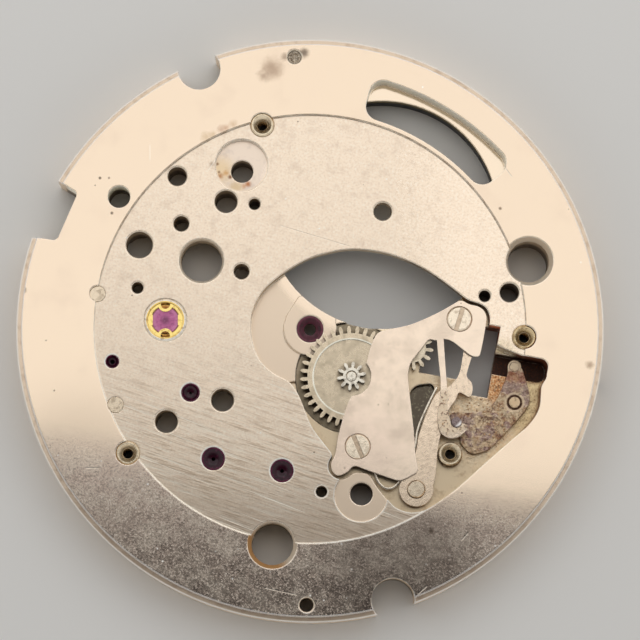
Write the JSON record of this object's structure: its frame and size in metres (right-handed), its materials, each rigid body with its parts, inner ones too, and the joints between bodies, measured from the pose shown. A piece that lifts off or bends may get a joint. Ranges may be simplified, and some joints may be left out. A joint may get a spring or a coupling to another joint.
{
  "type": "watch movement main plate with keyless works",
  "caption": "Dial side of a round wrist-watch movement: jewelled main plate with minute works, setting lever, yoke and detent cover.",
  "frame": {"origin": "centre of the plate on its underside", "axes": "+Z out of the dial side, +X out along the winding stem"},
  "size_m": [0.028, 0.028, 0.0022],
  "materials": {
    "nickel_plate": "nickel-plated brass, finely brushed, worn and stained",
    "nickel_cover": "nickel-plated, smooth",
    "nickel_brass": "turned, lightly tarnished",
    "polished_brass": "polished",
    "ruby": "polished synthetic ruby, dark wine red",
    "pink_ruby": "polished flat, lit pink",
    "gold_spring": "gilt, polished",
    "wheel_nickel": "nickel-plated, circular grained",
    "polished_steel": "polished",
    "rusted_steel": "mottled with rust",
    "grime": "dry rust and dirt"
  },
  "bodies": {
    "plate": {"balance_cap_jewel": "pink_ruby", "balance_hole_jewel": "ruby", "calendar_bush_1": "nickel_brass", "calendar_bush_2": "nickel_brass", "calendar_bush_3": "nickel_brass", "calendar_wheel_jewel": "ruby", "centre_wheel_jewel": "ruby", "cover_screw_lower": "polished_steel", "cover_screw_upper": "polished_steel", "dial_foot_screw_lower": "polished_steel", "dial_foot_screw_upper": "polished_steel", "dial_foot_stub": "nickel_brass", "escape_wheel_jewel": "ruby", "main_plate": "nickel_plate", "minute_wheel_post": "polished_steel", "minute_works_cover": "nickel_cover", "pallet_fork_jewel": "ruby", "setting_wheel_post": "polished_steel", "shock_setting_block": "polished_brass", "shock_setting_ring": "polished_brass", "shock_spring": "gold_spring", "steady_pin_1": "nickel_brass", "steady_pin_2": "nickel_brass", "third_wheel_jewel": "ruby", "works_bush": "nickel_brass", "yoke_post": "polished_steel", "yoke_spring": "polished_steel"},
    "minute_wheel": {"minute_wheel": "wheel_nickel", "minute_pinion": "polished_steel"},
    "setting_wheel": {"setting_wheel": "polished_steel"},
    "setting_lever": {"setting_lever": "rusted_steel", "setting_lever_screw": "polished_steel", "setting_lever_pin": "polished_steel", "setting_lever_stud": "polished_steel"},
    "yoke": {"yoke": "polished_steel"}
  },
  "joints": [
    {"name": "minute_wheel_spin", "type": "hinge", "parent": "plate", "child": "minute_wheel", "pos_m": [0.00236, -0.00193, 0.0016], "axis": [0, 0, 1], "continuous": true},
    {"name": "setting_wheel_spin", "type": "hinge", "parent": "plate", "child": "setting_wheel", "pos_m": [0.00493, -0.00006, 0.0016], "axis": [0, 0, 1], "continuous": true},
    {"name": "setting_lever_turn", "type": "hinge", "parent": "plate", "child": "setting_lever", "pos_m": [0.01023, -0.00169, 0.0013], "axis": [0, 0, -1], "range_deg": [0, 18]},
    {"name": "yoke_swing", "type": "hinge", "parent": "plate", "child": "yoke", "pos_m": [0.00636, -0.00665, 0.0016], "axis": [0, 0, 1], "range_deg": [0, 4.5], "deforming": ["yoke_spring"]}
  ],
  "couplings": [
    {"joint": "setting_wheel_spin", "follows": "minute_wheel_spin", "ratio": -2.5714},
    {"joint": "yoke_swing", "follows": "setting_lever_turn", "ratio": 0.25}
  ]
}
